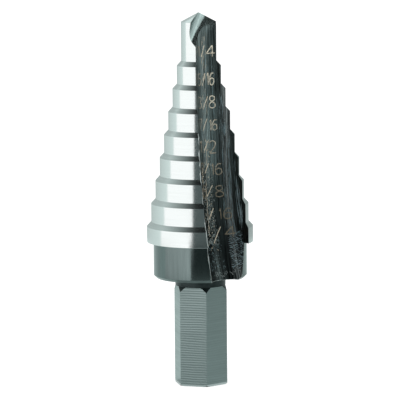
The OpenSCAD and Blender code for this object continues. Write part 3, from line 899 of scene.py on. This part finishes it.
# Thickness on the hub as a share of that on the largest step, and that as a share of the thickest.
HUB_SHARE, STEP_SHARE = 0.4, 0.9
THICK_NOISE, THICK_SHARES = (0.47, 0.62), (0.03, 1.0)
tree, given = new_tree("edge_burrs", {
    "Body": "Object", "Left Limit": "Float", "Foot": "Float", "Rim": "Float", "Rim Front": "Float",
    "Front": "Float", "Top": "Float", "Thickness": "Float", "Wander": "Float", "Material": "Material"})
get = given.outputs
ends = add(tree, "GeometryNodeInputMeshEdgeVertices").outputs
steep = add(tree, "ShaderNodeVectorMath", [ends["Position 1"], ends["Position 2"]], operation="SUBTRACT")
steep = add(tree, "ShaderNodeVectorMath", [steep], operation="NORMALIZE")
steep = add(tree, "ShaderNodeSeparateXYZ", [steep]).outputs["Z"]
steep = add(tree, "ShaderNodeMath", [steep], operation="ABSOLUTE")
turn = add(tree, "GeometryNodeInputMeshEdgeAngle")
x, y, z = add(tree, "ShaderNodeSeparateXYZ", [add(tree, "GeometryNodeInputPosition")]).outputs
# An edge is chosen where one whole group of limits holds: the steep left edge, or the lower rim.
groups = [
    [(steep, "GREATER_THAN", STEEP), (x, "LESS_THAN", get["Left Limit"]), (z, "LESS_THAN", get["Top"]),
     (y, "LESS_THAN", 0.0)],
    [(z, "LESS_THAN", get["Rim"]), (y, "LESS_THAN", get["Rim Front"])]]
chosen = []
for group in groups:
    held = add(tree, "FunctionNodeCompare", [turn, BURR_CRISP], operation="GREATER_THAN")
    for value, test, limit in group + [(z, "GREATER_THAN", get["Foot"])]:
        test = add(tree, "FunctionNodeCompare", [value, limit], operation=test)
        held = add(tree, "FunctionNodeBooleanMath", [held, test], operation="AND")
    chosen.append(held)
chosen = add(tree, "FunctionNodeBooleanMath", chosen, operation="OR")
edges = add(tree, "GeometryNodeObjectInfo", [get["Body"]]).outputs["Geometry"]
edges = add(tree, "GeometryNodeSeparateGeometry", [edges, chosen], domain="EDGE")
edges = add(tree, "GeometryNodeMergeByDistance", {0: edges, "Distance": EDGE_GAP * MM})
edges = add(tree, "GeometryNodeMeshToCurve", [edges])
edges = add(tree, "GeometryNodeResampleCurve", {0: edges, "Length": BURR_POINT_GAP * MM}, mode="LENGTH")
where = add(tree, "GeometryNodeInputPosition")
jags = add(tree, "ShaderNodeTexNoise", {"Vector": where, "Scale": JAGS_PER_MM / MM, "Detail": 1.0})
swing = add(tree, "ShaderNodeVectorMath", [jags.outputs["Color"], (0.5, 0.5, 0.5)], operation="SUBTRACT")
swing = add(tree, "ShaderNodeVectorMath", {0: swing, "Scale": get["Wander"]}, operation="SCALE")
patches = add(tree, "ShaderNodeTexNoise", {
    "Vector": where, "Scale": THICK_PATCHES_PER_MM / MM, "Detail": 2.0})
thick = add(tree, "ShaderNodeMapRange", [patches, *THICK_NOISE, *THICK_SHARES])
height = add(tree, "ShaderNodeSeparateXYZ", [where]).outputs["Z"]
heavy = add(tree, "ShaderNodeMapRange", [height, *[z * MM for z in THINS], STEP_SHARE, 0.0])
light = add(tree, "ShaderNodeMapRange", [height, *[z * MM for z in THICKENS], HUB_SHARE, 1.0])
heavy = add(tree, "ShaderNodeMath", [heavy, light], operation="MULTIPLY")
thick = add(tree, "ShaderNodeMath", [thick, heavy], operation="MAXIMUM")
edges = add(tree, "GeometryNodeSetPosition", {0: edges, "Offset": swing})
bead = add(tree, "GeometryNodeCurvePrimitiveCircle", {
    "Resolution": 5, "Radius": get["Thickness"]}, mode="RADIUS")
burrs = add(tree, "GeometryNodeCurveToMesh", {0: edges, 1: bead, "Fill Caps": True, "Scale": thick})
# No burr stands out past the front of the body. The other two limits are far away.
limits = add(tree, "ShaderNodeCombineXYZ", [-1.0, get["Front"], -1.0])
place = add(tree, "GeometryNodeInputPosition")
held = add(tree, "ShaderNodeVectorMath", [place, limits], operation="MAXIMUM")
burrs = add(tree, "GeometryNodeSetPosition", {0: burrs, "Position": held})
burrs = add(tree, "GeometryNodeSetShadeSmooth", {0: burrs, "Shade Smooth": True}, domain="FACE")
end_tree(tree, add(tree, "GeometryNodeSetMaterial", {0: burrs, "Material": get["Material"]}))
edge_burrs = run_tree(mesh_object("edge_burrs", [(0, 0, 0)], []), tree, {
    "Body": cutting_body, "Left Limit": -1.5 * MM, "Foot": (HUB_Z - 0.2) * MM, "Rim": (HUB_Z + 0.9) * MM,
    "Rim Front": -4.5 * MM, "Front": float(cad_box[0][1]), "Top": 47 * MM,
    "Thickness": 0.095 * MM, "Wander": 0.16 * MM, "Material": glint_steel})

pieces = [cutting_body, hex_shank, size_marks, mark_slashes, upper_scratch, lower_scratches, edge_burrs]
for piece in pieces + strewn:
    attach(piece, "root")
    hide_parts("step_drill")

# Stage

# Cards round the drill: what the shank, the hub and the stepped body each reflect, as rings of
# (radius, height) that start on the floor, because the camera looks a little downwards.
HEX_RING = [(0.0, 0.0004), (0.07, 0.0004), (0.128, 0.0005)]
HUB_RING = [(0.128, 0.0005), (0.182, 0.0006)]
BODY_RING = [(0.182, 0.0006), (0.27, 0.0007), (0.30, 0.02), (0.32, 0.12), (0.32, 0.26)]
BODY_FLOOR = [(0.182, 0.0006), (0.27, 0.0007), (0.30, 0.02), (0.32, 0.034)]
POINT_WALL = [(0.32, 0.034), (0.32, 0.26)]
GASH_WALL = [(0.25, 0.140), (0.25, 0.266)]
COOL, WHITE, DARK = linear("#F1FFFD"), linear("#FFFFFF"), linear("#E7FFFF")
# Azimuth in the camera's view from straight towards it, in degrees, the brightness at each end,
# and the colour.
CARDS = [
    ("shank_left_card", HEX_RING, -180, -100, 0.82, 0.86, COOL),
    ("shank_front_card", HEX_RING, -100, 20, 0.475, 0.475, COOL),
    ("shank_right_card", HEX_RING, 20, 180, 0.50, 0.54, COOL),
    ("hub_left_card", HUB_RING, -180, -94, 0.78, 0.80, COOL),
    ("hub_softbox_card", HUB_RING, -94, -23, 0.94, 1.35, WHITE),
    ("hub_flag_card", HUB_RING, -23, 78, 0.045, 0.045, DARK),
    ("hub_right_card", HUB_RING, 78, 180, 0.60, 0.74, COOL),
    ("left_card", BODY_RING, -180, -96, 0.52, 0.86, COOL),
    ("left_seam_card", BODY_RING, -96, -92, 0.86, 0.86, COOL),
    ("softbox_card", BODY_RING, -92, -17, 1.20, 1.20, WHITE),
    ("flag_card", BODY_RING, -17, 60, 0.11, 0.12, DARK),
    ("flag_right_card", BODY_FLOOR, 60, 75, 0.12, 0.12, DARK),
    ("right_dim_card", BODY_FLOOR, 75, 125, 0.01, 0.17, COOL),
    ("point_card", POINT_WALL, 60, 125, 0.74, 0.72, COOL),
    ("right_card", BODY_RING, 125, 180, 0.42, 0.50, COOL),
    ("gash_root_card", GASH_WALL, 53, 105, 1.15, 0.92, COOL)]
DEGREES_PER_FACE = 3


def glow(name, low, high, colour):
    """A card's light, whose brightness goes from low to high along the card's U."""
    material = bpy.data.materials.new(name)
    material.use_nodes = True
    tree = material.node_tree
    tree.nodes.clear()
    along = add(tree, "ShaderNodeSeparateXYZ", [add(tree, "ShaderNodeUVMap", uv_map="turn")]).outputs["X"]
    value = add(tree, "ShaderNodeMapRange", [along, 0.0, 1.0, low, high])
    add(tree, "ShaderNodeOutputMaterial", [add(tree, "ShaderNodeEmission", [colour, value])])
    return material


def card(name, verts, faces, uvs, low, high, colour=COOL):
    """A glowing card that only reflections see."""
    thing = mesh_object(name, verts, faces)
    layer = thing.data.uv_layers.new(name="turn")
    for loop in thing.data.loops:
        layer.data[loop.index].uv = uvs[loop.vertex_index]
    thing.data.materials.append(glow(name + "_glow", low, high, colour))
    for ray in ("camera", "diffuse", "shadow", "transmission", "volume_scatter"):
        setattr(thing, "visible_" + ray, False)


for name, ring, start, stop, low, high, colour in CARDS:
    columns = max(2, int((stop - start) / DEGREES_PER_FACE))
    verts, uvs = [], []
    for c in range(columns + 1):
        a = math.radians(start + (stop - start) * c / columns) + VIEW_TURN
        for r, z in ring:
            verts.append((r * math.sin(a), -r * math.cos(a), z))
            uvs.append((c / columns, z))
    n = len(ring)
    faces = [(c * n + k, (c + 1) * n + k, (c + 1) * n + k + 1, c * n + k + 1)
             for c in range(columns) for k in range(n - 1)]
    card(name, verts, faces, uvs, low, high, colour)

# Overhead, a card that is bright on the camera's left and dark from above the drill to the right.
TOP_R, TOP_Z, TOP_LEFT, TOP_DARK = 0.33, 0.27, -0.22, -0.03
verts = [Matrix.Rotation(VIEW_TURN, 3, "Z") @ Vector((x, y, TOP_Z))
         for x in (-TOP_R, TOP_LEFT, TOP_DARK, TOP_R) for y in (-TOP_R, TOP_R)]
card("overhead_card", verts, [(0, 1, 3, 2), (2, 3, 5, 4), (4, 5, 7, 6)],
     [(u, v) for u in (0, 0, 1, 1) for v in (0, 1)], 0.76, 0.015)
# Above and behind on the left, a card that only the cone of the point sees.
CONE_LEFT, CONE_RIGHT, CONE_FRONT, CONE_Z = -0.24, -0.02, 0.14, TOP_Z - 0.002
verts = [Matrix.Rotation(VIEW_TURN, 3, "Z") @ Vector((x, y, CONE_Z))
         for x in (CONE_LEFT, CONE_RIGHT) for y in (CONE_FRONT, TOP_R)]
card("point_left_card", verts, [(0, 1, 3, 2)], [(0, 0), (0, 1), (1, 0), (1, 1)], 0.9, 0.9)

# Matt white paper. The camera and reflections see it lifted to pure white round the drill.
FLOOR_HALF = 3
PAPER, PAPER_LIFT = linear("#C4C4C4"), 0.72
floor = mesh_object("floor", [
    (-FLOOR_HALF, -FLOOR_HALF, 0), (FLOOR_HALF, -FLOOR_HALF, 0), (FLOOR_HALF, FLOOR_HALF, 0),
    (-FLOOR_HALF, FLOOR_HALF, 0)], [(0, 1, 2, 3)])
material = bpy.data.materials.new("matt_white_paper")
material.use_nodes = True
tree = material.node_tree
tree.nodes.clear()
path = add(tree, "ShaderNodeLightPath").outputs
seen = add(tree, "ShaderNodeMath", [path["Is Camera Ray"], path["Is Glossy Ray"]], operation="MAXIMUM")
none = add(tree, "ShaderNodeEmission", [linear("#000000"), 0.0])
lift = add(tree, "ShaderNodeEmission", [WHITE, PAPER_LIFT])
lift = add(tree, "ShaderNodeMixShader", [seen, none, lift])
paper = add(tree, "ShaderNodeAddShader", [add(tree, "ShaderNodeBsdfDiffuse", [PAPER]), lift])
add(tree, "ShaderNodeOutputMaterial", [paper])
floor.data.materials.append(material)

# White behind everything that is seen, and a softer fill on what is lit.
SEEN_STRENGTH, FILL_STRENGTH = 1.0, 0.8
world = bpy.data.worlds.new("studio")
bpy.context.scene.world = world
world.use_nodes = True
tree = world.node_tree
tree.nodes.clear()
path = add(tree, "ShaderNodeLightPath").outputs
seen = add(tree, "ShaderNodeMath", [path["Is Camera Ray"], path["Is Glossy Ray"]], operation="MAXIMUM")
seen = add(tree, "ShaderNodeMath", [seen, path["Is Transmission Ray"]], operation="MAXIMUM")
white = add(tree, "ShaderNodeBackground", [WHITE, SEEN_STRENGTH])
fill = add(tree, "ShaderNodeBackground", [WHITE, FILL_STRENGTH])
add(tree, "ShaderNodeOutputWorld", [add(tree, "ShaderNodeMixShader", [seen, fill, white])])

lamp = bpy.data.lights.new("key_softbox", "AREA")
lamp.shape = "DISK"
lamp.size = 0.5
lamp.energy = 1.0
key = bpy.data.objects.new("key_softbox", lamp)
bpy.context.scene.collection.objects.link(key)
key.location = (-0.5, -0.4, 0.7)
KEY_AIM = Vector((0, 0, 0.03))
key.rotation_mode = "QUATERNION"
key.rotation_quaternion = (KEY_AIM - Vector(key.location)).to_track_quat("-Z", "Y")
key.visible_glossy = False

# The camera, fitted to the edges and levels of the steps in the photograph.
DISTANCE, HEIGHT = 0.600, 0.11149
PITCH, YAW, ROLL = math.radians(7.4467), math.radians(0.0032), math.radians(-0.4329)
FOCAL_PIXELS, FRAME_PIXELS, SENSOR = 3389.8, 400, 36
lens = bpy.data.cameras.new("camera")
camera = bpy.data.objects.new("camera", lens)
bpy.context.scene.collection.objects.link(camera)
camera.location = (math.sin(VIEW_TURN) * DISTANCE, -math.cos(VIEW_TURN) * DISTANCE, HEIGHT)
heading = VIEW_TURN - YAW
look = Vector((-math.sin(heading) * math.cos(PITCH), math.cos(heading) * math.cos(PITCH), -math.sin(PITCH)))
camera.rotation_mode = "QUATERNION"
camera.rotation_quaternion = Quaternion(look, -ROLL) @ look.to_track_quat("-Z", "Y")
lens.sensor_width = SENSOR
lens.lens = SENSOR * FOCAL_PIXELS / FRAME_PIXELS
lens.clip_start = 0.01
bpy.context.scene.camera = camera
bpy.context.scene.view_settings.view_transform = "Standard"
